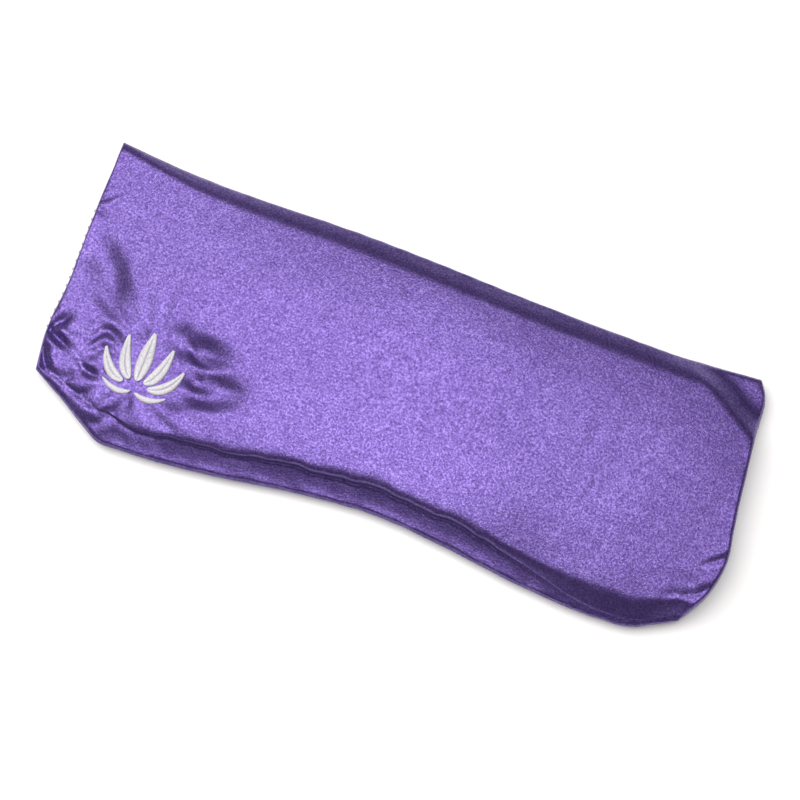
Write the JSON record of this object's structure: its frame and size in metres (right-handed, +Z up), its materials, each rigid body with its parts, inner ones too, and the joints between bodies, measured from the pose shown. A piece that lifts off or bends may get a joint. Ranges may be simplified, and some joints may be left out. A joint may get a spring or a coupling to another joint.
{
  "type": "eye pillow",
  "caption": "Flat seed-filled eye pillow with a nose notch in one long edge, a satin cover sewn shut round an inner bag, and a small embroidered lotus in one corner.",
  "frame": {"origin": "bottom centre of the box round the whole pillow, on the surface it rests on", "axes": "+X along the length, away from the embroidered end; +Y across the width, from the edge with the nose notch to the straight edge; +Z up, out of the embroidered face"},
  "size_m": [0.2293, 0.0945, 0.0205],
  "materials": {
    "satin": "smooth satin weave with a soft broad shine",
    "satin_thread": "matt sewing thread",
    "embroidery_thread": "glossy white rayon embroidery thread",
    "backing": "matt white non-woven stabiliser",
    "muslin": "matt unbleached cotton",
    "seed": "glossy brown flax seed"
  },
  "bodies": {
    "root": {"cover_front": "satin", "cover_back": "satin", "cover_seam_thread": "satin_thread", "closing_thread": "satin_thread", "embroidery_petal_center": "embroidery_thread", "embroidery_petal_inner_right": "embroidery_thread", "embroidery_petal_inner_left": "embroidery_thread", "embroidery_petal_outer_right": "embroidery_thread", "embroidery_petal_outer_left": "embroidery_thread", "embroidery_petal_base_right": "embroidery_thread", "embroidery_petal_base_left": "embroidery_thread", "embroidery_backing": "backing", "inner_bag_front": "muslin", "inner_bag_back": "muslin", "inner_bag_thread": "muslin", "seed_fill": "seed"}
  },
  "joints": []
}
